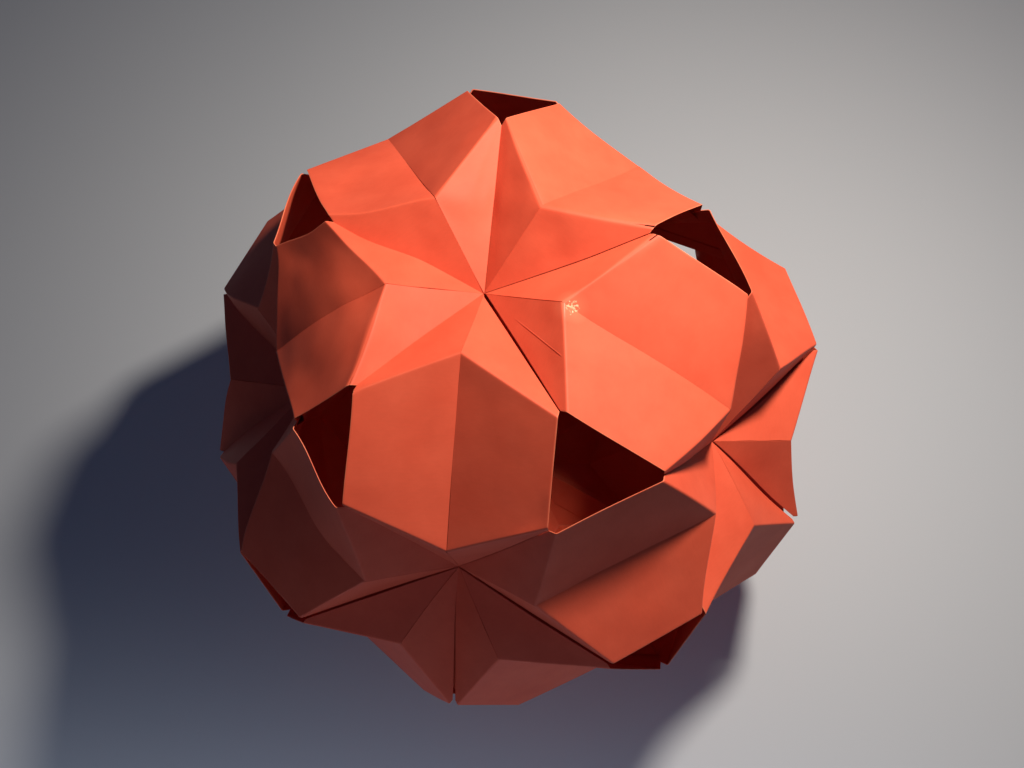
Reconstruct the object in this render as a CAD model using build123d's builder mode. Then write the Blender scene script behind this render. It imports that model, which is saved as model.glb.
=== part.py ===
"""A modular origami ball: thirty square sheets of paper, each folded into the same long unit.

Every unit spans one edge of an icosahedron. It is a cupboard-folded strip: the two long sides of
the sheet are folded over to meet in a seam along the middle. The middle of the strip is a shallow
valley between two trapezoid faces, and its two ends drop into five-pointed pits. At each end one
corner of the strip is a tab, which slips into the pocket behind the flap of the next unit.
"""

from build123d import *

import os
from itertools import combinations
from math import asin, atan, cos, pi, radians, sin, sqrt, tan

# The square sheet, the angle in degrees at which the rim's creases cross the strip, and the short
# stretch of folded edge that runs on from the rim's corner down to the valley
sheet_side = 90.0
paper = 0.12
crease_angle = 66.5
pit_edge = 2.0

# Room round a tab in its pocket, between neighbouring units, and between the two flaps
tab_slip = 0.05
valley_gap = 0.24
seam_gap = 0.3

# The tab: how far it reaches past the valley, its distance from the pocket's sides, and its root
tab_reach = 6.5
tab_margin = 2.0
tab_root = 2.0

# The folded strip: a flap on each side, a back layer, and between them a pocket that takes one tab
strip_half = sheet_side / 4
thickness = 3 * paper + 2 * tab_slip
pocket_floor = thickness - paper
tab_top = paper + tab_slip
tab_bottom = tab_top + paper

# An icosahedron seen from the middle of an edge: the ways to the edge's corner and to a face's middle
golden = (1 + sqrt(5)) / 2
pit_angle = atan(1 / golden)
window_angle = atan(1 / golden**2)
to_pit = Vector(sin(pit_angle), 0, cos(pit_angle))
to_window = Vector(0, sin(window_angle), cos(window_angle))
valley = Plane((0, 0, 0), z_dir=to_window.cross(to_pit))

# The fold along the seam that makes the rim of every pit flat, and the drop from there into the pit
crease_lean = strip_half / tan(radians(crease_angle))
main_tilt = asin(tan(pit_angle) / tan(radians(crease_angle)))
end_drop = 2 * pit_angle

# The lines that bound an end face: along the crease, down the ridge and down the valley
crease_run = Vector(-crease_lean, strip_half * cos(main_tilt), strip_half * sin(main_tilt))
ridge_run = Vector(cos(end_drop), 0, -sin(end_drop))
valley_run = valley.z_dir.cross(ridge_run.cross(crease_run))

# How far from the strip's end the valley meets the folded edge, then the rim's corner, then its peak
valley_from_end = strip_half / tan(radians(ridge_run.get_angle(valley_run)))
corner_from_end = valley_from_end + pit_edge
peak_from_end = corner_from_end - crease_lean

# Crease points of a quarter unit, with X along the strip, Y across it and Z out from the ball's centre
peak_x = sheet_side / 2 - peak_from_end
pit_x = peak_x + peak_from_end * cos(end_drop)
pit_z = pit_x / tan(pit_angle)
peak_z = pit_z + peak_from_end * sin(end_drop)
pit = Vector(pit_x, 0, pit_z)
peak = Vector(peak_x, 0, peak_z)
corner = peak + crease_run

# The quarter's two faces, and the planes that part it from its other quarters and from its neighbour
along = Vector(1, 0, 0)
middle = Plane.YZ
ridge = Plane.XZ
seam = ridge.offset(-seam_gap / 2)
main_face = Plane(peak, z_dir=along.cross(crease_run))
end_face = Plane(peak, z_dir=ridge_run.cross(crease_run))
crease = Plane(peak, z_dir=main_face.z_dir - end_face.z_dir)
valley_edge = valley.offset(-valley_gap / 2)


def window_sides(inset):
    """The planes along the folded edge, on the main face and on the end face, moved in by inset."""
    main_side = Plane((0, 0, 0), z_dir=corner.cross(along)).offset(-inset)
    turn = main_side & crease
    end_side = Plane(turn.position, z_dir=turn.direction.cross(ridge_run))
    return main_side, end_side


def across_valley(plane):
    """The same plane on the neighbouring unit, which is the mirror image in the valley."""
    normal = valley.z_dir
    origin = plane.origin - normal * (2 * plane.origin.dot(normal))
    return Plane(origin, z_dir=plane.z_dir - normal * (2 * plane.z_dir.dot(normal)))


def layer(face, bounds, top, bottom):
    """Add the paper of a face between two depths below it, ending at a ring of bounding planes."""
    over, under = (
        [face.offset(-depth) & bounds[i - 1] & bounds[i] for i in range(len(bounds))]
        for depth in (top, bottom)
    )
    sides = [(over[i - 1], over[i], under[i], under[i - 1]) for i in range(len(bounds))]
    add(Solid(Shell([Face(Wire.make_polygon(ring)) for ring in (over, under, *sides)])))


def folded_quarter():
    """Add a quarter of the folded strip: a flap, the back layer and the fold along the window."""
    main_side, end_side = window_sides(0)
    main_wall, end_wall = window_sides(paper)
    layer(main_face, (middle, seam, crease, main_side), 0, paper)
    layer(end_face, (crease, seam, valley_edge, end_side), 0, paper)
    layer(main_face, (middle, ridge, crease, main_side), pocket_floor, thickness)
    layer(end_face, (crease, ridge, valley_edge, end_side), pocket_floor, thickness)
    layer(main_face, (middle, main_wall, crease, main_side), paper, pocket_floor)
    layer(end_face, (crease, end_wall, valley_edge, end_side), paper, pocket_floor)


def tab():
    """Add the tab: a pressed band beside the valley, and a blade that bends across it."""
    root = valley.offset(-tab_root)
    pit_margin = ridge.offset(-tab_margin)
    rim_margin = crease.offset(-tab_margin)
    layer(end_face, (ridge, valley_edge, rim_margin, root), paper, pocket_floor)
    layer(end_face, (pit_margin, valley, rim_margin, root), tab_top, tab_bottom)
    blade = (valley, across_valley(rim_margin), valley.offset(tab_reach), across_valley(pit_margin))
    layer(across_valley(end_face), blade, tab_top, tab_bottom)


with BuildPart() as pocket_quarter:
    folded_quarter()

with BuildPart() as tab_quarter:
    folded_quarter()
    tab()

# Half a turn about the middle of the unit brings its one end to the other
half_turn = (0, 0, 180)
with BuildPart() as unit:
    add(pocket_quarter.part)
    mirror(tab_quarter.part, about=ridge)
    add(unit.part, rotation=half_turn)

# The corners of the icosahedron, with one pit straight up and one straight down
units_round_pit = 5
ring_height = 1 / sqrt(5)
ring_radius = 2 * ring_height
ring_step = 2 * pi / units_round_pit
front = -pi / 2
upper_ring = [
    Vector(ring_radius * cos(front + k * ring_step), ring_radius * sin(front + k * ring_step), ring_height)
    for k in range(units_round_pit)
]
pits = [Vector(0, 0, 1), *upper_ring, *[-way for way in upper_ring], Vector(0, 0, -1)]

# Two pits are joined by a unit if they lie less than a right angle apart
edges = [(near, far) for near, far in combinations(pits, 2) if near.dot(far) > 0]

# The ball stands on the flat rim of its lowest pit
ball_centre = Vector(0, 0, corner.dot(to_pit))

os.makedirs("parts", exist_ok=True)
for number, (near, far) in enumerate(edges, start=1):
    name = f"folded_unit_{number:02d}"
    with BuildPart() as folded_unit:
        with Locations(Plane(ball_centre, x_dir=near - far, z_dir=near + far)):
            add(unit.part)
    folded_unit.part.label = name
    export_step(folded_unit.part, f"parts/{name}.step")
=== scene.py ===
"""The folded paper ball as it looks: thirty hand-folded sheets of coral paper on a pale board."""

import random
from collections import namedtuple
from itertools import combinations, product
from math import asin, atan, cos, pi, radians, sin, sqrt, tan

import bpy
from mathutils import Matrix, Quaternion, Vector


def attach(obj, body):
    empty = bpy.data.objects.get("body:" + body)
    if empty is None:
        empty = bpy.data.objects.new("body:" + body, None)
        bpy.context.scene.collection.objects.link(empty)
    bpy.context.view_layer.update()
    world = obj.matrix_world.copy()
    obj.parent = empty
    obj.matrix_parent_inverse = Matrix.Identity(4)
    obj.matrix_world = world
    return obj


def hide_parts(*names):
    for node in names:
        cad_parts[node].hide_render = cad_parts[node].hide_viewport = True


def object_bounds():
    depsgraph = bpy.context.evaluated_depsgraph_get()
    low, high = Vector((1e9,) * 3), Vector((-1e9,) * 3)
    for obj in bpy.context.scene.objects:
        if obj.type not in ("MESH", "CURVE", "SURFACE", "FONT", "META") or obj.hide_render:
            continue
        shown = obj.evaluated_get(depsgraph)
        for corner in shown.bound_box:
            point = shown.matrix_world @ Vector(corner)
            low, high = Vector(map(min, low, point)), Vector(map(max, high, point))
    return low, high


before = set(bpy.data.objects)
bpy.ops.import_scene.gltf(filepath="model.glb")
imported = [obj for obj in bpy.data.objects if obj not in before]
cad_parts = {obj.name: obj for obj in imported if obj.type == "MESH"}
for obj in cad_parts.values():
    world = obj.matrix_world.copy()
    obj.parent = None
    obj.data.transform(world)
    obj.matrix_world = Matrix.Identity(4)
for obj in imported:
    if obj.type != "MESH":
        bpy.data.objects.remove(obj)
cad_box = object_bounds()
mm = 0.001

# The folded strip: the square sheet, its paper, the crease angle and the edges that the part has
sheet_side = 90 * mm
paper = 0.12 * mm
tab_slip = 0.05 * mm
strip_thickness = 3 * paper + 2 * tab_slip
crease_angle = radians(66.5)
pit_edge = 2 * mm
strip_half = sheet_side / 4
fold_thickness = 1.9 * paper

# The tab: how far it reaches past the valley, its distance from the pocket's sides, its root, its depth
# below the flap, and how much deeper it dips where it crosses the valley
tab_reach = 6.5 * mm
tab_margin = 2 * mm
tab_root = 2 * mm
tab_depth = 0.5 * mm
tab_dip = 0.9 * mm

# How round a crease is, and how finely the paper is divided: past the crease on either side, along a
# main face, an end face and a tab, and round the folded edge. The rows run from the seam (0) to the
# folded edge (1), closer together where the paper turns
crease_radius = 0.45 * mm
crease_steps = [q * mm for q in (-0.9, -0.45, -0.3, -0.15, 0, 0.15, 0.3, 0.45, 0.9)]
main_columns = 20
end_columns = 15
tab_columns = 8
fold_turns = 4
flap_rows = [0, 0.006, 0.02, *(0.06 + 0.06 * k for k in range(15)), 0.96, 0.985, 1]
back_rows = [0, 0.012, 0.04, *(0.12 + 0.08 * k for k in range(11)), 1]

# The bow of each face, the length over which it changes, and how far from a crease it is full
bow = 0.5 * mm
bow_reach = 20 * mm
slack_reach = 6 * mm

# The sway of the whole ball, the length over which it changes, and the height at which it is full
sway = 0.7 * mm
sway_reach = 60 * mm
firm_height = 40 * mm

# The part of a flap that gives way at the seam, how far a lift and a lip reach, and how much further
# from its fold a crease counts than the folded edge does, so that it looks less scuffed and gets less of
# the painted highlight along folds
loose_share = 0.12
lift_reach = 6 * mm
lip_width = 3 * mm
crease_keep = 0.1 * mm

# How unlike the units are, in millimetres: the seam's widest gap and how much less it is at the ends,
# and the ranges of a valley's gap, a lip, a lift, a bend from a peak and a bend across a main face
seam_knots = 33
seam_widest = 0.32
seam_less = 0.2
valley_gaps = (0.04, 0.16)
lips = (-0.05, 0.1)
lifts = (0, 0.12)
peak_bends = (-0.08, 0.12)
face_bends = (-0.2, 0.2)

# Where bends lie on the flat strip, in millimetres: the middle of a valley, where a bend across a main
# face starts along and across the strip, how far it runs, and how far to either side a bend reaches
valley_middle = (28.7, 12.9)
face_bend_along = (-8, 8)
face_bend_across = (7, 14)
face_bend_run = (-6, 6)
bend_width = 5

# Where the ball was pushed out of true, in millimetres: the place, the move, and how far from the
# place the move stays full and where it ends
pushes = (
    ((-56, -20, 128), (6.6, 2.1, 2.0), 20, 48),
    ((38, 58, 108), (-2.9, -2.4, -0.4), 26, 62),
    ((56, 44, 50), (-7, -2, 0), 14, 42),
    ((44, 8, 137), (0, 0.65, 0.3), 8, 24),
    ((54, -15, 116), (2.4, 0.2, 0), 15, 45),
    ((-36, 12, 146), (0.2, -2.4, -1), 6, 26),
    ((-8, -78, 82), (-2, 0, 0), 15, 50),
    ((-36, -12, 134), (-1.4, -0.5, 2.4), 2, 24),
)

# An icosahedron seen from the middle of an edge
golden = (1 + sqrt(5)) / 2
pit_angle = atan(1 / golden)
window_angle = atan(1 / golden**2)
to_pit = Vector((sin(pit_angle), 0, cos(pit_angle)))
to_window = Vector((0, sin(window_angle), cos(window_angle)))
valley_normal = to_window.cross(to_pit).normalized()

# The creases of a quarter unit, with X along the strip, Y across it and Z out from the ball's centre
along = Vector((1, 0, 0))
across = Vector((0, 1, 0))
main_tilt = asin(tan(pit_angle) / tan(crease_angle))
end_drop = 2 * pit_angle
main_across = Vector((0, cos(main_tilt), sin(main_tilt)))
crease_run = main_across * strip_half - along * (strip_half / tan(crease_angle))
ridge_run = Vector((cos(end_drop), 0, -sin(end_drop)))
main_normal = along.cross(crease_run).normalized()
end_normal = ridge_run.cross(crease_run).normalized()
end_across = end_normal.cross(ridge_run)
valley_turn = ridge_run.angle(valley_normal.cross(end_normal))
peak_from_end = strip_half / tan(valley_turn) + pit_edge - strip_half / tan(crease_angle)
peak_x = sheet_side / 2 - peak_from_end
pit_x = peak_x + peak_from_end * cos(end_drop)
peak = Vector((peak_x, 0, pit_x / tan(pit_angle) + peak_from_end * sin(end_drop)))
corner = peak + crease_run
window_normal = corner.cross(along).normalized()
ball_centre = Vector((0, 0, corner.dot(to_pit)))

# A quarter of a unit is named by its end (1 towards the first of the two pits that the unit joins, -1
# towards the second) and its side (1 on the left of someone who faces the first pit, -1 on the right)
quarters = list(product((1, -1), (1, -1)))

# A point of a sheet: where it is, the way out of its face, its place on the flat strip in millimetres
# along and across, its distance from the nearest crease, and its distance from the nearest fold that is
# scuffed and lit by a painted highlight
Spot = namedtuple("Spot", "point outward flat slack wear")


def linear(colour):
    """The linear colour of an sRGB hex value."""
    parts = [int(colour[i:i + 2], 16) / 255 for i in (1, 3, 5)]
    return [p / 12.92 if p <= 0.04045 else ((p + 0.055) / 1.055) ** 2.4 for p in parts] + [1.0]


def add_node(tree, kind, inputs=None, output=0, **settings):
    """Add a node with its settings, give its inputs a value or a link each, and return one output."""
    node = tree.nodes.new(kind)
    for name, value in settings.items():
        setattr(node, name, value)
    for key, value in (inputs or {}).items():
        if isinstance(value, bpy.types.NodeSocket):
            tree.links.new(value, node.inputs[key])
        else:
            node.inputs[key].default_value = value
    return node.outputs[output] if node.outputs else None


def meet(*planes):
    """The point where three planes meet, each given by its normal and its distance from the centre."""
    normals = Matrix([normal for normal, distance in planes])
    return normals.inverted() @ Vector([distance for normal, distance in planes])


def at_depth(depth):
    """The main face and the end face, moved in by a depth."""
    return (main_normal, main_normal.dot(peak) - depth), (end_normal, end_normal.dot(peak) - depth)


def crease_end(depth, inset):
    """Where the crease reaches the folded edge, at a depth in the strip and an inset from its side."""
    return meet(*at_depth(depth), (window_normal, -inset))


def crease_start(depth):
    """Where the crease leaves the ridge, at a depth in the strip."""
    return meet(*at_depth(depth), (across, 0))


def strip_rows():
    """The rows of one side of the strip, from the seam round the folded edge to the middle of the back.

    Each row is the point where it crosses the crease, its share of the way from the seam to the folded
    edge, and whether it belongs to the flap."""
    flap_depth = paper / 2
    back_depth = strip_thickness - paper / 2
    pressed_depth = fold_thickness - paper / 2
    fold_radius = (pressed_depth - flap_depth) / 2
    inset = fold_radius + paper / 2
    flap_ends = crease_start(flap_depth), crease_end(flap_depth, inset)
    back_ends = crease_start(back_depth), crease_end(pressed_depth, inset)
    rows = [(flap_ends[0].lerp(flap_ends[1], share), share, True) for share in flap_rows]
    for k in range(1, fold_turns):
        turn = pi * k / fold_turns
        depth = flap_depth + fold_radius * (1 - cos(turn))
        rows.append((crease_end(depth, inset - fold_radius * sin(turn)), 1, True))
    rows += [(back_ends[0].lerp(back_ends[1], share), share, False) for share in reversed(back_rows)]
    return rows


def crease_point(crossing, q):
    """The point at a distance q along a row from its crease, which is rounded."""
    if abs(q) >= crease_radius:
        return crossing + (along if q < 0 else ridge_run) * q
    share = (q + crease_radius) / (2 * crease_radius)
    return crossing + ridge_run * (crease_radius * share**2) - along * (crease_radius * (1 - share) ** 2)


def blend(knots, place):
    """A value that changes evenly between knots, which are equally spaced from 0 to 1."""
    place = min(max(place, 0), 1) * (len(knots) - 1)
    low = min(int(place), len(knots) - 2)
    return knots[low] + (knots[low + 1] - knots[low]) * (place - low)


class Fold:
    """How one unit was folded, in millimetres. The seam's gap is given from the second pit to the first,
    and a valley's gap from the pit to the rim. A lip is the stand of the edge along the valley, and a
    lift that of the flap's corner at the peak. A bend is pressed into the strip along a straight line:
    where it starts, where it ends, its height, and how far to either side it reaches. The print is how
    far, from 0 to 1, a tab shows through the flap over it."""

    def __init__(self, seed):
        draw = random.Random(seed)
        middle = seam_knots // 2
        self.seam = [
            draw.uniform(0, seam_widest - seam_less * abs(k - middle) / middle) for k in range(seam_knots)
        ]
        self.valley = {}
        self.lip = {}
        self.lift = {}
        self.bends = []
        self.tab_print = 0
        for end, side in quarters:
            self.valley[end, side] = [draw.uniform(*valley_gaps) for knot in range(3)]
            self.lip[end, side] = draw.uniform(*lips)
            self.lift[end, side] = draw.uniform(*lifts)
            start = Vector((end * peak_x / mm, 0))
            stop = Vector((end * valley_middle[0], side * valley_middle[1]))
            self.bends.append((start, stop, draw.uniform(*peak_bends), bend_width))
        for side in (1, -1):
            start = Vector((draw.uniform(*face_bend_along), side * draw.uniform(*face_bend_across)))
            run = Vector((draw.uniform(*face_bend_run), draw.uniform(*face_bend_run)))
            self.bends.append((start, start + run, draw.uniform(*face_bends), bend_width))


def bent(spot, fold):
    """A spot moved by the faint bends of its unit, which die away at the creases."""
    height = 0
    for start, end, most, width in fold.bends:
        run = end - start
        share = min(max((spot.flat - start).dot(run) / run.length_squared, 0), 1)
        aside = (spot.flat - start - run * share).length
        free = min(1, 2 * spot.slack / mm / width)
        height += most * max(0, 1 - aside / width) * free * free * (3 - 2 * free)
    return spot._replace(point=spot.point + spot.outward * (height * mm))


def turned(row, end, side):
    """A row of the quarter with X and Y positive, mirrored to another quarter."""
    flip = Vector((end, side, 1))
    return [
        spot._replace(point=spot.point * flip, outward=spot.outward * flip, flat=spot.flat * flip.xy)
        for spot in row
    ]


def quarter_row(crossing, share, flap, fold, end, side):
    """One row of a quarter unit, from its crease to the valley."""
    edge = -blend(fold.valley[end, side], share) * mm
    reach = (edge - valley_normal.dot(crossing)) / valley_normal.dot(ridge_run)
    last = crease_steps[-1]
    steps = [*crease_steps, *(last + (reach - last) * k / end_columns for k in range(1, end_columns + 1))]
    loose = max(0, 1 - share / loose_share) if flap else 0
    from_fold = (1 - share) * strip_half
    from_ridge = share * strip_half
    row = []
    for q in steps:
        on_end = q >= 0
        outward = end_normal if on_end else main_normal
        point = crease_point(crossing, q)
        # The two flaps leave a gap at the seam
        gap = blend(fold.seam, 0.5 + end * (crossing.x + q) / sheet_side) * mm
        point = point + (end_across if on_end else main_across) * (loose * gap / 2)
        # The flap's corner stands off a little at the peak, and the edge along the valley
        from_valley = max(0, reach - q) * sin(valley_turn)
        stand = fold.lip[end, side] * max(0, 1 - from_valley / lip_width)
        if flap:
            stand += fold.lift[end, side] * max(0, 1 - (q * q + from_ridge**2) / lift_reach**2)
        point = point + outward * (stand * mm)
        from_crease = abs(q) * sin(crease_angle)
        free = from_fold if flap and not on_end else min(from_fold, from_ridge)
        flat = Vector((crossing.x + q, from_ridge)) / mm
        slack = min(free, from_crease, from_valley)
        row.append(Spot(point, outward, flat, slack, min(from_fold, from_crease + crease_keep)))
    return turned(row, end, side)


def sheet_grid(fold):
    """All rows of a unit's sheet, from one flap's seam edge round the back to the other's."""
    grid = []
    for side in (1, -1):
        rows = []
        for crossing, share, flap in strip_rows():
            second = quarter_row(crossing, share, flap, fold, -1, side)
            first = quarter_row(crossing, share, flap, fold, 1, side)
            edge = (1 - share) * strip_half
            free = edge if flap else min(edge, share * strip_half)
            between = []
            for k in range(1, main_columns):
                step = k / main_columns
                point = second[0].point.lerp(first[0].point, step)
                flat = second[0].flat.lerp(first[0].flat, step)
                slack = min(free, min(step, 1 - step) * 2 * crossing.x)
                between.append(Spot(point, second[0].outward, flat, slack, edge))
            rows.append([bent(spot, fold) for spot in (*reversed(second), *between, *first)])
        grid += rows if side == 1 else reversed(rows[:-1])
    return grid


def tab_patch(end, side):
    """The tab of a quarter, pressed flat beside the valley and bent across it into the next unit."""
    crease_plane = (main_normal - end_normal).normalized()
    margins = (across, tab_margin), (crease_plane, crease_plane.dot(peak) - tab_margin)
    face = at_depth(tab_depth)[1]
    outward = (end_normal - valley_normal * end_normal.dot(valley_normal)).normalized()
    lines = []
    for reach in (-tab_root, 0, tab_reach):
        corners = []
        for margin in margins:
            point = meet(face, margin, (valley_normal, -abs(reach)))
            if reach > 0:
                point = point + valley_normal * (2 * reach)
            if reach == 0:
                point = point - outward * tab_dip
            corners.append(point)
        line = []
        for column in range(tab_columns + 1):
            point = corners[0].lerp(corners[1], column / tab_columns)
            line.append(Spot(point, end_normal, point.xy / mm, 0, strip_half))
        lines.append(turned(line, end, side))
    return lines


def add_patch(spots, faces, grid):
    """Add a grid of spots and its faces to the lists of a mesh."""
    first = len(spots)
    width = len(grid[0])
    for row in grid:
        spots.extend(row)
    for j in range(len(grid) - 1):
        for i in range(width - 1):
            a = first + j * width + i
            faces.append((a, a + 1, a + width + 1, a + width))


def sheet_mesh(name, fold, place):
    """The mesh of one folded sheet, in its place on the ball."""
    spots = []
    faces = []
    add_patch(spots, faces, sheet_grid(fold))
    add_patch(spots, faces, tab_patch(1, -1))
    add_patch(spots, faces, tab_patch(-1, 1))
    mesh = bpy.data.meshes.new(name)
    mesh.from_pydata([place @ spot.point for spot in spots], [], faces)
    turn = place.to_3x3()
    outward = mesh.attributes.new("outward", "FLOAT_VECTOR", "POINT")
    outward.data.foreach_set("vector", [v for spot in spots for v in turn @ spot.outward])
    slack = mesh.attributes.new("slack", "FLOAT", "POINT")
    slack.data.foreach_set("value", [spot.slack for spot in spots])
    from_fold = mesh.attributes.new("from_fold", "FLOAT", "POINT")
    from_fold.data.foreach_set("value", [spot.wear / mm for spot in spots])
    tab_print = mesh.attributes.new("tab_print", "FLOAT", "POINT")
    tab_print.data.foreach_set("value", [fold.tab_print] * len(spots))
    flat = mesh.uv_layers.new(name="flat_strip")
    flat.data.foreach_set("uv", [v for loop in mesh.loops for v in spots[loop.vertex_index].flat])
    mesh.shade_smooth()
    return mesh


def hand_folding():
    """Geometry nodes that bow a sheet's faces, sway it with the ball, and push it out of true.

    Inputs 1 and 2 of a Map Range node are the range it reads, and 3 and 4 the range it gives."""
    tree = bpy.data.node_groups.new("hand_folding", "GeometryNodeTree")
    sizes = ("Bow", "Bow reach", "Slack reach", "Sway", "Sway reach", "Firm height", "Seed")
    kinds = {name: "NodeSocketFloat" for name in sizes}
    kinds = {"Geometry": "NodeSocketGeometry", **kinds, "Paper": "NodeSocketMaterial"}
    sockets = {
        name: tree.interface.new_socket(name, in_out="INPUT", socket_type=kind).identifier
        for name, kind in kinds.items()
    }
    tree.interface.new_socket("Geometry", in_out="OUTPUT", socket_type="NodeSocketGeometry")
    given = add_node(tree, "NodeGroupInput").node.outputs
    position = add_node(tree, "GeometryNodeInputPosition")

    # The bow of each face, which dies away towards its creases
    bow_scale = add_node(tree, "ShaderNodeMath", {0: 1.0, 1: given["Bow reach"]}, operation="DIVIDE")
    bow_noise = add_node(
        tree, "ShaderNodeTexNoise",
        {"Vector": position, "W": given["Seed"], "Scale": bow_scale, "Detail": 2.0, "Roughness": 0.35},
        noise_dimensions="4D",
    )
    bow_signed = add_node(tree, "ShaderNodeMath", {0: bow_noise, 1: 2.0, 2: -1.0}, operation="MULTIPLY_ADD")
    slack = add_node(tree, "GeometryNodeInputNamedAttribute", {"Name": "slack"}, data_type="FLOAT")
    free = add_node(
        tree, "ShaderNodeMapRange", {0: slack, 2: given["Slack reach"]}, interpolation_type="SMOOTHSTEP"
    )
    bow_most = add_node(tree, "ShaderNodeMath", {0: free, 1: given["Bow"]}, operation="MULTIPLY")
    bow_size = add_node(tree, "ShaderNodeMath", {0: bow_signed, 1: bow_most}, operation="MULTIPLY")
    outward = add_node(tree, "GeometryNodeInputNamedAttribute", {"Name": "outward"}, data_type="FLOAT_VECTOR")
    bow_move = add_node(tree, "ShaderNodeVectorMath", {0: outward, "Scale": bow_size}, operation="SCALE")

    # The sway of the whole ball, which neighbouring units share, and none where it stands
    sway_scale = add_node(tree, "ShaderNodeMath", {0: 1.0, 1: given["Sway reach"]}, operation="DIVIDE")
    sway_noise = add_node(
        tree, "ShaderNodeTexNoise", {"Vector": position, "Scale": sway_scale, "Detail": 0.0}, output="Color"
    )
    sway_signed = add_node(
        tree, "ShaderNodeVectorMath", {0: sway_noise, 1: (2, 2, 2), 2: (-1, -1, -1)}, operation="MULTIPLY_ADD"
    )
    height = add_node(tree, "ShaderNodeSeparateXYZ", {0: position}, output="Z")
    loose = add_node(
        tree, "ShaderNodeMapRange", {0: height, 2: given["Firm height"]}, interpolation_type="SMOOTHSTEP"
    )
    sway_most = add_node(tree, "ShaderNodeMath", {0: loose, 1: given["Sway"]}, operation="MULTIPLY")
    sway_move = add_node(
        tree, "ShaderNodeVectorMath", {0: sway_signed, "Scale": sway_most}, operation="SCALE"
    )

    # The pushes, each full round its place and dying away further out
    moved = add_node(tree, "ShaderNodeVectorMath", {0: bow_move, 1: sway_move}, operation="ADD")
    for where, way, full, end in pushes:
        away = add_node(
            tree, "ShaderNodeVectorMath", {0: position, 1: Vector(where) * mm},
            output="Value", operation="DISTANCE",
        )
        share = add_node(
            tree, "ShaderNodeMapRange", {0: away, 1: end * mm, 2: full * mm}, interpolation_type="SMOOTHSTEP"
        )
        push = add_node(
            tree, "ShaderNodeVectorMath", {0: Vector(way) * mm, "Scale": share}, operation="SCALE"
        )
        moved = add_node(tree, "ShaderNodeVectorMath", {0: moved, 1: push}, operation="ADD")

    # Nothing leaves the part's own box
    skin = Vector((paper, paper, paper)) / 2
    lowest, highest = (Vector(end) for end in cad_box)
    wanted = add_node(tree, "ShaderNodeVectorMath", {0: position, 1: moved}, operation="ADD")
    above = add_node(tree, "ShaderNodeVectorMath", {0: wanted, 1: lowest + skin}, operation="MAXIMUM")
    inside = add_node(tree, "ShaderNodeVectorMath", {0: above, 1: highest - skin}, operation="MINIMUM")
    warped = add_node(tree, "GeometryNodeSetPosition", {"Geometry": given["Geometry"], "Position": inside})
    realised = add_node(tree, "GeometryNodeRealizeInstances", {0: warped})
    covered = add_node(tree, "GeometryNodeSetMaterial", {0: realised, "Material": given["Paper"]})
    add_node(tree, "NodeGroupOutput", {0: covered})
    return tree, sockets


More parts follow.
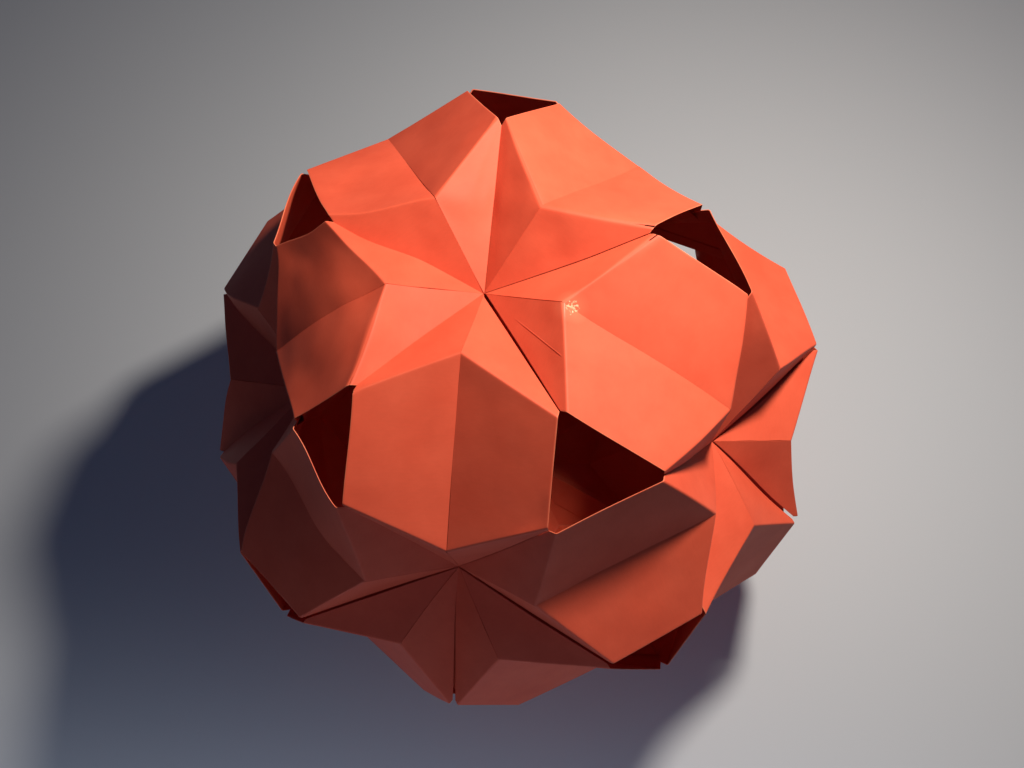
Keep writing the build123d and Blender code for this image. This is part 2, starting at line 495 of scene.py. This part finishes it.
def coral_paper(glue_spot):
    """Coloured note paper, dyed through. It is matt and fibrous, a little cloudy, paler along its folds,
    partly scuffed there and partly lit by a painted highlight, darkened with painted shade where a tab
    prints through, and shiny in one place where a drop of glue dried on it, whose pale drops are partly
    a painted highlight."""
    # Sizes in the sheet, then of the tab's print, then of the glue. What is laid out on the flat strip, as
    # the streaks, the scuffing and painted highlight along folds, and the print are, is in millimetres
    cloud_size = 11 * mm
    tooth_size = 0.35 * mm
    streak_size = (0.5, 2.4)
    scuff_and_highlight_reach = 0.14
    grain_height = 0.012 * mm
    print_angle = radians(22.5)
    print_width = 0.22
    print_start = (17.2, 18.2)
    print_end = (34.0, 29.0)
    print_shade_strength = 0.6
    print_height = 0.08 * mm
    glue_reach = 4 * mm
    glue_grain = 0.6 * mm
    glue_drops = (0.36, 0.46)
    glue_film = 0.12
    glue_drop_and_glint_strength = 0.6
    glue_height = 0.04 * mm
    paper_roughness = 0.6
    glue_roughness = 0.25
    material = bpy.data.materials.new("coral_paper")
    material.use_nodes = True
    tree = material.node_tree
    tree.nodes.clear()
    place = add_node(tree, "ShaderNodeTexCoord", output="Object")
    flat = add_node(tree, "ShaderNodeUVMap", uv_map="flat_strip")

    # Dye that clouds over about a centimetre, fibres that lie across the strip, and the paper's tooth.
    # Fibres and tooth are drawn several times as coarse as life, so that they show. Inputs 6 and 7 of a
    # Mix node are its two colours, and output 2 is the colour it gives
    cloud = add_node(
        tree, "ShaderNodeTexNoise",
        {"Vector": place, "Scale": 1 / cloud_size, "Detail": 4.0, "Roughness": 0.6},
    )
    stretched = add_node(
        tree, "ShaderNodeMapping", {"Vector": flat, "Scale": (1 / streak_size[0], 1 / streak_size[1], 1)}
    )
    streak = add_node(
        tree, "ShaderNodeTexNoise", {"Vector": stretched, "Scale": 1.0, "Detail": 3.0, "Roughness": 0.6}
    )
    tooth = add_node(
        tree, "ShaderNodeTexNoise",
        {"Vector": place, "Scale": 1 / tooth_size, "Detail": 2.0, "Roughness": 0.6},
    )
    dye = add_node(tree, "ShaderNodeValToRGB", {0: cloud})
    dye.node.color_ramp.elements[0].position = 0.3
    dye.node.color_ramp.elements[0].color = linear("#DA563B")
    dye.node.color_ramp.elements[1].position = 0.7
    dye.node.color_ramp.elements[1].color = linear("#E46044")
    fibres = add_node(tree, "ShaderNodeMapRange", {0: streak, 1: 0.3, 2: 0.7, 3: 0.98, 4: 1.02})
    pulp = add_node(
        tree, "ShaderNodeMix", {"Factor": 1.0, 6: dye, 7: fibres},
        output=2, data_type="RGBA", blend_type="MULTIPLY",
    )

    # Paper paler close to a fold, and more so in some places: partly scuffed paper, partly a painted
    # highlight of the folded edge
    from_fold = add_node(tree, "ShaderNodeAttribute", output="Fac", attribute_name="from_fold")
    near_fold = add_node(tree, "ShaderNodeMapRange", {0: from_fold, 1: 0.0, 2: scuff_and_highlight_reach, 3: 1.0, 4: 0.0})
    patchy = add_node(tree, "ShaderNodeMapRange", {0: cloud, 1: 0.35, 2: 0.65, 3: 0.1, 4: 0.45})
    scuff_and_highlight = add_node(tree, "ShaderNodeMath", {0: near_fold, 1: patchy}, operation="MULTIPLY")
    scuffed_and_highlit = add_node(
        tree, "ShaderNodeMix", {"Factor": scuff_and_highlight, 6: pulp, 7: linear("#F8A67F")}, output=2, data_type="RGBA"
    )

    # The print of a tab's edge through the pocket that holds it: a line from the strip's end, raised a
    # little and darkened with painted shade, the shadow of its step
    strip_x = add_node(tree, "ShaderNodeSeparateXYZ", {0: flat}, output="X")
    strip_y = add_node(tree, "ShaderNodeSeparateXYZ", {0: flat}, output="Y")
    from_middle = add_node(tree, "ShaderNodeMath", {0: strip_x}, operation="ABSOLUTE")
    which_end = add_node(tree, "ShaderNodeMath", {0: strip_x}, operation="SIGN")
    pocket_y = add_node(tree, "ShaderNodeMath", {0: strip_y, 1: which_end}, operation="MULTIPLY")
    lean = add_node(
        tree, "ShaderNodeMath",
        {0: from_middle, 1: sin(print_angle), 2: -sheet_side / 2 / mm * sin(print_angle)},
        operation="MULTIPLY_ADD",
    )
    from_print = add_node(
        tree, "ShaderNodeMath", {0: pocket_y, 1: cos(print_angle), 2: lean}, operation="MULTIPLY_ADD"
    )
    off_print = add_node(tree, "ShaderNodeMath", {0: from_print}, operation="ABSOLUTE")
    on_print = add_node(tree, "ShaderNodeMapRange", {0: off_print, 1: 0.0, 2: print_width, 3: 1.0, 4: 0.0})
    off_tip = add_node(tree, "ShaderNodeMapRange", {0: from_middle, 1: print_end[0], 2: print_end[1]})
    off_main = add_node(tree, "ShaderNodeMapRange", {0: from_middle, 1: print_start[0], 2: print_start[1]})
    on_end = add_node(tree, "ShaderNodeMath", {0: off_tip, 1: off_main}, operation="MULTIPLY")
    pressed = add_node(tree, "ShaderNodeAttribute", output="Fac", attribute_name="tab_print")
    print_share = add_node(tree, "ShaderNodeMath", {0: on_print, 1: on_end}, operation="MULTIPLY")
    print_line = add_node(tree, "ShaderNodeMath", {0: print_share, 1: pressed}, operation="MULTIPLY")
    print_shade = add_node(tree, "ShaderNodeMath", {0: print_line, 1: print_shade_strength}, operation="MULTIPLY")
    # Painted shade along the print line, the shadow of the tab's step
    colour = add_node(
        tree, "ShaderNodeMix", {"Factor": print_shade, 6: scuffed_and_highlit, 7: linear("#A8321F")},
        output=2, data_type="RGBA",
    )

    # Dried glue: a smooth film with a speckle of small pale drops. The pale drops are partly the glue's
    # own film and partly a painted highlight standing for its glints
    from_glue = add_node(
        tree, "ShaderNodeVectorMath", {0: place, 1: glue_spot}, output="Value", operation="DISTANCE"
    )
    glue_share = add_node(tree, "ShaderNodeMapRange", {0: from_glue, 1: 0.0, 2: glue_reach, 3: 1.0, 4: 0.0})
    drops = add_node(tree, "ShaderNodeTexNoise", {"Vector": place, "Scale": 1 / glue_grain, "Detail": 1.0})
    wet = add_node(tree, "ShaderNodeMath", {0: glue_share, 1: drops}, operation="MULTIPLY")
    glue = add_node(tree, "ShaderNodeMapRange", {0: wet, 1: glue_drops[0], 2: glue_drops[1]})
    film = add_node(tree, "ShaderNodeMath", {0: glue_share, 1: glue_film}, operation="MULTIPLY")
    roughness = add_node(
        tree, "ShaderNodeMapRange", {0: glue_share, 3: paper_roughness, 4: glue_roughness}
    )

    # The relief of the tooth and the fibres, the tab's print and the glue
    fine = add_node(tree, "ShaderNodeMath", {0: tooth, 1: streak}, operation="ADD")
    grain = add_node(tree, "ShaderNodeBump", {"Height": fine, "Distance": grain_height, "Strength": 0.6})
    printed = add_node(
        tree, "ShaderNodeBump",
        {"Height": print_line, "Distance": print_height, "Strength": 1.0, "Normal": grain},
    )
    relief = add_node(
        tree, "ShaderNodeBump",
        {"Height": glue, "Distance": glue_height, "Strength": 1.0, "Normal": printed},
    )
    # Pale glue over the paper's colour, its drops partly a painted highlight
    glue_tint_and_glint = add_node(
        tree, "ShaderNodeMath", {0: glue, 1: glue_drop_and_glint_strength, 2: film}, operation="MULTIPLY_ADD"
    )
    coloured = add_node(
        tree, "ShaderNodeMix", {"Factor": glue_tint_and_glint, 6: colour, 7: linear("#FFDDB4")},
        output=2, data_type="RGBA",
    )
    surface = {
        "Base Color": coloured, "Roughness": roughness, "IOR": 1.5, "Specular IOR Level": 0.3,
        "Normal": relief,
    }
    shader = add_node(tree, "ShaderNodeBsdfPrincipled", surface)
    add_node(tree, "ShaderNodeOutputMaterial", {"Surface": shader})
    return material


def painted_board():
    """A pale grey painted board: matt, with paint that is very slightly uneven."""
    material = bpy.data.materials.new("painted_board")
    material.use_nodes = True
    tree = material.node_tree
    tree.nodes.clear()
    place = add_node(tree, "ShaderNodeTexCoord", output="Object")
    uneven = add_node(tree, "ShaderNodeTexNoise", {"Vector": place, "Scale": 4.0, "Detail": 2.0})
    paint = add_node(tree, "ShaderNodeValToRGB", {0: uneven})
    paint.node.color_ramp.elements[0].color = linear("#CAD4E0")
    paint.node.color_ramp.elements[1].color = linear("#D3DCE6")
    shader = add_node(tree, "ShaderNodeBsdfPrincipled", {"Base Color": paint, "Roughness": 0.75})
    add_node(tree, "ShaderNodeOutputMaterial", {"Surface": shader})
    return material


def add_lamp(name, place, back, energy, colour):
    """Add an area lamp at a place, with its back turned one way and its light the other."""
    lamp = bpy.data.lights.new(name, "AREA")
    lamp.energy = energy
    lamp.color = linear(colour)[:3]
    holder = bpy.data.objects.new(name, lamp)
    holder.location = place
    holder.rotation_mode = "QUATERNION"
    holder.rotation_quaternion = back.to_track_quat("Z", "Y")
    bpy.context.scene.collection.objects.link(holder)
    return lamp


# The corners of the icosahedron, with one pit straight up, and a unit for each pair of neighbours
units_round_pit = 5
ring_height = 1 / sqrt(5)
ring_step = 2 * pi / units_round_pit
upper_ring = [
    Vector((2 * ring_height * sin(k * ring_step), -2 * ring_height * cos(k * ring_step), ring_height))
    for k in range(units_round_pit)
]
pits = [Vector((0, 0, 1)), *upper_ring, *[-way for way in upper_ring], Vector((0, 0, -1))]
edges = [(near, far) for near, far in combinations(pits, 2) if near.dot(far) > 0]
places = {}
folds = {}
for number, (near, far) in enumerate(edges, start=1):
    x_way = (near - far).normalized()
    z_way = (near + far).normalized()
    place = Matrix((x_way, z_way.cross(x_way), z_way)).transposed().to_4x4()
    place.translation = ball_centre
    places[number] = place
    folds[number] = Fold(number)

# What the photograph shows of single units. Valleys stand open or are tight, with gaps in millimetres
# from the pit to the rim. Each lies between one unit's right side and the next one's left
wide = (0.42, 0.34, 0.16)
open_all_along = (0.25, 0.5, 0.45)
open_at_rim = (0.03, 0.2, 0.4)
thin = (0.1, 0.14, 0.15)
tight = (0.02, 0.03, 0.03)
valleys = (
    (1, 2, wide),
    (2, 3, thin),
    (3, 4, tight),
    (4, 5, tight),
    (5, 1, tight),
    (7, 8, open_all_along),
    (8, 9, open_at_rim),
    (9, 6, open_all_along),
    (11, 12, open_all_along),
    (12, 10, open_all_along),
)
for right, left, gap in valleys:
    folds[right].valley[1, -1] = gap
    folds[left].valley[1, 1] = gap

# One edge that stands above its neighbour's, seams that are tight or thin, and one that opens at a peak
folds[4].lip[1, 1] = 0.22
folds[3].lip[1, -1] = -0.1
for number in (3, 5, 6):
    folds[number].seam = [0.0] * seam_knots
folds[1].seam = [0.1] * 8 + [0.18] * 8 + [0.1] * 6 + [0.03] * 11
folds[2].seam = [0.1] * 23 + [0.06, 0.06, 0.14, 0.16, 0.16, 0.16, 0.14, 0.1, 0.08, 0.06]
folds[4].seam = [0.0] * 21 + [0.15, 0.5, 0.35] + [0.0] * 9
folds[5].seam[26:30] = (0.08, 0.16, 0.16, 0.1)
folds[2].tab_print = 1

# Faint bends that show, most of them from a peak towards the middle of a valley
peak_place = Vector((peak_x / mm, 0))
left_valley = Vector(valley_middle)
right_valley = Vector((valley_middle[0], -valley_middle[1]))
folds[4].bends[0] = (peak_place, left_valley, 0.35, bend_width)
folds[3].bends[1] = (peak_place, right_valley, 0.35, bend_width)
folds[3].bends[0] = (peak_place, Vector((30, 11)), -0.3, bend_width)
folds[1].bends.append((Vector((-14, -17)), Vector((-7, -22)), -0.2, 3))

# The units, with a drop of glue just behind a peak of the second
scene = bpy.context.scene
glue_from_peak = 2.5 * mm
glue_place = Vector((peak_x - glue_from_peak, 0, peak.z))
coral = coral_paper(places[2] @ glue_place)
sharp_turn = radians(50)
folding_tree, sockets = hand_folding()
for number, place in places.items():
    sheet = bpy.data.objects.new("sheet", sheet_mesh("sheet", folds[number], place))
    scene.collection.objects.link(sheet)
    folding = sheet.modifiers.new("hand_folding", "NODES")
    folding.node_group = folding_tree
    values = {
        "Bow": bow, "Bow reach": bow_reach, "Slack reach": slack_reach,
        "Sway": sway, "Sway reach": sway_reach, "Firm height": firm_height,
        "Seed": float(number), "Paper": coral,
    }
    for name, value in values.items():
        folding[sockets[name]] = value
    thickness = sheet.modifiers.new("paper", "SOLIDIFY")
    thickness.thickness = paper
    thickness.offset = 0
    evaluated = sheet.evaluated_get(bpy.context.evaluated_depsgraph_get())
    mesh = bpy.data.meshes.new_from_object(evaluated)
    mesh.set_sharp_from_angle(angle=sharp_turn)
    bpy.data.objects.remove(sheet)
    unit = bpy.data.objects.new(f"paper_unit_{number:02d}", mesh)
    scene.collection.objects.link(unit)
    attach(unit, "root")
    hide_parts(f"folded_unit_{number:02d}")

# The board that the ball stands on
board_radius = 0.8
board_corners = 96
board_ring = [2 * pi * k / board_corners for k in range(board_corners)]
board_mesh = bpy.data.meshes.new("board")
board_edge = [(board_radius * cos(turn), board_radius * sin(turn), 0) for turn in board_ring]
board_mesh.from_pydata(board_edge, [], [range(board_corners)])
board_mesh.materials.append(painted_board())
board = bpy.data.objects.new("board", board_mesh)
scene.collection.objects.link(board)

# The camera, at the photograph's viewing angle
aim = Vector((0.2, 3.0, 74.4)) * mm
view_azimuth = radians(-68.4)
view_elevation = radians(66.9)
view_roll = radians(-14.15)
view_distance = 288.5 * mm
lens = 36.875
sensor_width = 36
view_way = Vector((
    cos(view_elevation) * cos(view_azimuth), cos(view_elevation) * sin(view_azimuth), sin(view_elevation)
))
camera_data = bpy.data.cameras.new("camera")
camera_data.lens = lens
camera_data.sensor_width = sensor_width
camera = bpy.data.objects.new("camera", camera_data)
camera.location = aim + view_way * view_distance
camera.rotation_mode = "QUATERNION"
camera.rotation_quaternion = view_way.to_track_quat("Z", "Y") @ Quaternion((0, 0, 1), view_roll)
scene.collection.objects.link(camera)
scene.camera = camera

# A warm lamp from the upper right
key_way = Vector((0.385, 0.29, 0.875)).normalized()
key_distance = 0.25
key = add_lamp("key", ball_centre + key_way * key_distance, key_way, 0.78, "#FFF0DE")
key.shape = "DISK"
key.size = 0.03

# A weak cool light in front, aimed at the board, which throws some of it up to the faces that turn down
front_place = Vector((0.01, -0.23, 0.12))
front_aim = Vector((0, -0.14, 0))
front = add_lamp("front", front_place, front_place - front_aim, 0.05, "#DCE4FB")
front.shape = "DISK"
front.size = 0.16

# A narrow strip of light over the board in front of the ball, turned straight down and spread little
strip_place = Vector((0, -0.19, 0.16))
strip = add_lamp("strip", strip_place, Vector((0, 0, 1)), 0.05, "#E9ECF2")
strip.shape = "RECTANGLE"
strip.size = 0.42
strip.size_y = 0.08
strip.spread = radians(80)

# A cool pale room. It is paler to look at, or in a reflection, than it is bright as a light
fill_level = 0.04
backdrop_level = 0.28
room = bpy.data.worlds.new("room")
room.use_nodes = True
room_tree = room.node_tree
room_tree.nodes.clear()
rays = add_node(room_tree, "ShaderNodeLightPath").node.outputs
seen = rays["Is Camera Ray"]
for ray in ("Is Glossy Ray", "Is Transmission Ray"):
    seen = add_node(room_tree, "ShaderNodeMath", {0: seen, 1: rays[ray]}, operation="MAXIMUM")
level = add_node(room_tree, "ShaderNodeMapRange", {0: seen, 3: fill_level, 4: backdrop_level})
glow = add_node(room_tree, "ShaderNodeBackground", {0: linear("#9DAEEA"), 1: level})
add_node(room_tree, "ShaderNodeOutputWorld", {0: glow})
scene.world = room
scene.view_settings.view_transform = "Standard"
